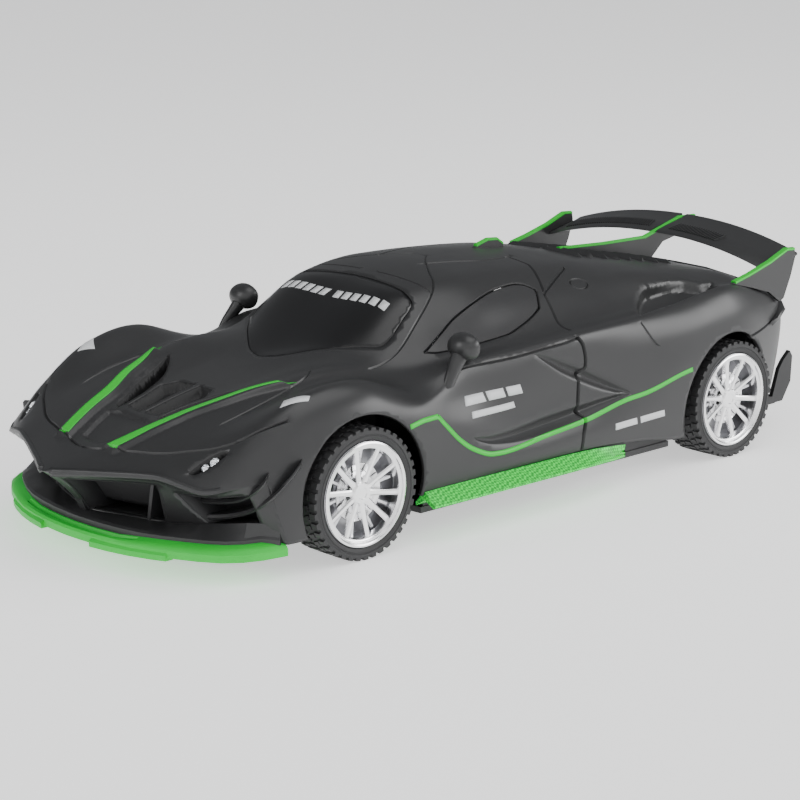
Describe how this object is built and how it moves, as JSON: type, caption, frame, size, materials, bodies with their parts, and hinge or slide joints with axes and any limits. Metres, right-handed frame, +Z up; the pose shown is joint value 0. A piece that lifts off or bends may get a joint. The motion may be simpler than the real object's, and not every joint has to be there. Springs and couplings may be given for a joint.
{
  "type": "remote control car",
  "caption": "Low sports-racing remote control car with a winged shell, green splitter and skirts, spoked chrome wheels, steering front axle and geared rear drive.",
  "frame": {"origin": "middle of the overall length and width, on the ground under the tyres", "axes": "+X forward to the nose, +Y to the left side of the car, +Z up"},
  "size_m": [0.239, 0.1084, 0.0612],
  "materials": {
    "body": "satin dark grey painted shell",
    "trim_green": "bright metallic green plastic trim",
    "screen": "gloss black windscreen",
    "chassis": "black moulded plastic",
    "chrome_rim": "vacuum-plated spokes",
    "tyre": "soft black rubber with lettering left out",
    "steel": "plated steel",
    "nylon": "natural nylon",
    "brass": "brass",
    "cell": null,
    "board": "solder-masked board",
    "lens": "plated reflector and lens"
  },
  "bodies": {
    "car": {"aa_cell_1": "cell", "aa_cell_2": "cell", "aa_cell_3": "cell", "aa_cell_4": "cell", "battery_contact_front": "steel", "battery_contact_rear": "steel", "body_screw_front_left": "steel", "body_screw_front_right": "steel", "body_screw_rear_left": "steel", "body_screw_rear_right": "steel", "body_shell": "body", "chassis_tray": "chassis", "circuit_board": "board", "compound_pin": "steel", "drive_motor": "steel", "front_axle_bridge": "chassis", "front_grille": "chassis", "front_splitter": "trim_green", "gearbox_housing": "chassis", "headlight_left": "lens", "headlight_right": "lens", "mirror_left": "body", "mirror_right": "body", "power_switch": "chassis", "rear_bush_left": "brass", "rear_bush_right": "brass", "rear_diffuser": "chassis", "roof_fin": "body", "side_skirt_left": "trim_green", "side_skirt_right": "trim_green", "steering_bracket": "chassis", "steering_motor": "steel", "windscreen": "screen", "wing_blade_left": "body", "wing_blade_right": "body", "wing_centre_fin": "body", "wing_endplate_left": "body", "wing_endplate_right": "body"},
    "rear_wheels": {"rear_axle": "steel", "axle_gear": "nylon", "tyre_rear_left": "tyre", "tyre_rear_right": "tyre", "rim_rear_left": "chrome_rim", "rim_rear_right": "chrome_rim"},
    "compound": {"compound_gear": "nylon"},
    "pinion": {"motor_pinion": "brass"},
    "steer_left": {"steering_knuckle_left": "chassis", "wheel_screw_left": "steel"},
    "steer_right": {"steering_knuckle_right": "chassis", "wheel_screw_right": "steel"},
    "front_wheel_left": {"tyre_front_left": "tyre", "rim_front_left": "chrome_rim"},
    "front_wheel_right": {"tyre_front_right": "tyre", "rim_front_right": "chrome_rim"},
    "tie_rod": {"tie_rod": "chassis"},
    "steering_lever": {"steering_lever": "nylon"},
    "steering_pinion": {"steering_pinion": "brass"},
    "battery_cover": {"battery_cover": "chassis"},
    "switch_slider": {"switch_slider": "chassis"},
    "trim_dial": {"trim_dial": "chassis"}
  },
  "joints": [
    {"name": "rear_axle_spin", "type": "hinge", "parent": "car", "child": "rear_wheels", "pos_m": [-0.0772, 0, 0.0165], "axis": [0, 1, 0], "continuous": true},
    {"name": "compound_spin", "type": "hinge", "parent": "car", "child": "compound", "pos_m": [-0.06821, -0.011, 0.02088], "axis": [0, 1, 0], "continuous": true},
    {"name": "motor_spin", "type": "hinge", "parent": "car", "child": "pinion", "pos_m": [-0.05825, -0.012, 0.02001], "axis": [0, 1, 0], "continuous": true},
    {"name": "steering", "type": "hinge", "parent": "car", "child": "steer_left", "pos_m": [0.0613, 0.032, 0.0165], "axis": [0, 0, 1], "range_deg": [-18, 18], "stiffness_Nm_per_rad": 0.02},
    {"name": "steering_right", "type": "hinge", "parent": "car", "child": "steer_right", "pos_m": [0.0613, -0.032, 0.0165], "axis": [0, 0, 1], "range_deg": [-18, 18]},
    {"name": "front_left_spin", "type": "hinge", "parent": "steer_left", "child": "front_wheel_left", "pos_m": [0.0613, 0.04475, 0.0165], "axis": [0, 1, 0], "continuous": true},
    {"name": "front_right_spin", "type": "hinge", "parent": "steer_right", "child": "front_wheel_right", "pos_m": [0.0613, -0.04475, 0.0165], "axis": [0, 1, 0], "continuous": true},
    {"name": "tie_rod_shift", "type": "slide", "parent": "car", "child": "tie_rod", "axis": [0, 1, 0], "range_m": [-0.0038, 0.0038]},
    {"name": "lever_turn", "type": "hinge", "parent": "car", "child": "steering_lever", "pos_m": [0.0373, 0, 0.0219], "axis": [0, 0, 1], "range_deg": [-18, 18]},
    {"name": "steering_pinion_turn", "type": "hinge", "parent": "car", "child": "steering_pinion", "pos_m": [0.0248, 0, 0.022], "axis": [0, 0, 1], "range_deg": [-72, 72]},
    {"name": "battery_cover_hinge", "type": "hinge", "parent": "car", "child": "battery_cover", "pos_m": [-0.04295, 0, 0.0068], "axis": [0, 1, 0], "range_deg": [0, 80]},
    {"name": "power_slide", "type": "slide", "parent": "car", "child": "switch_slider", "axis": [1, 0, 0], "range_m": [0, 0.0025]},
    {"name": "trim_turn", "type": "hinge", "parent": "car", "child": "trim_dial", "pos_m": [0.03205, -0.018, 0.0065], "axis": [0, 0, 1], "range_deg": [-15, 15]}
  ],
  "couplings": [
    {"joint": "compound_spin", "follows": "rear_axle_spin", "ratio": -3},
    {"joint": "motor_spin", "follows": "rear_axle_spin", "ratio": 9},
    {"joint": "steering_right", "follows": "steering", "ratio": 1},
    {"joint": "tie_rod_shift", "follows": "steering", "m_per_rad": -0.012},
    {"joint": "lever_turn", "follows": "steering", "ratio": -1},
    {"joint": "steering_pinion_turn", "follows": "steering", "ratio": 4}
  ]
}
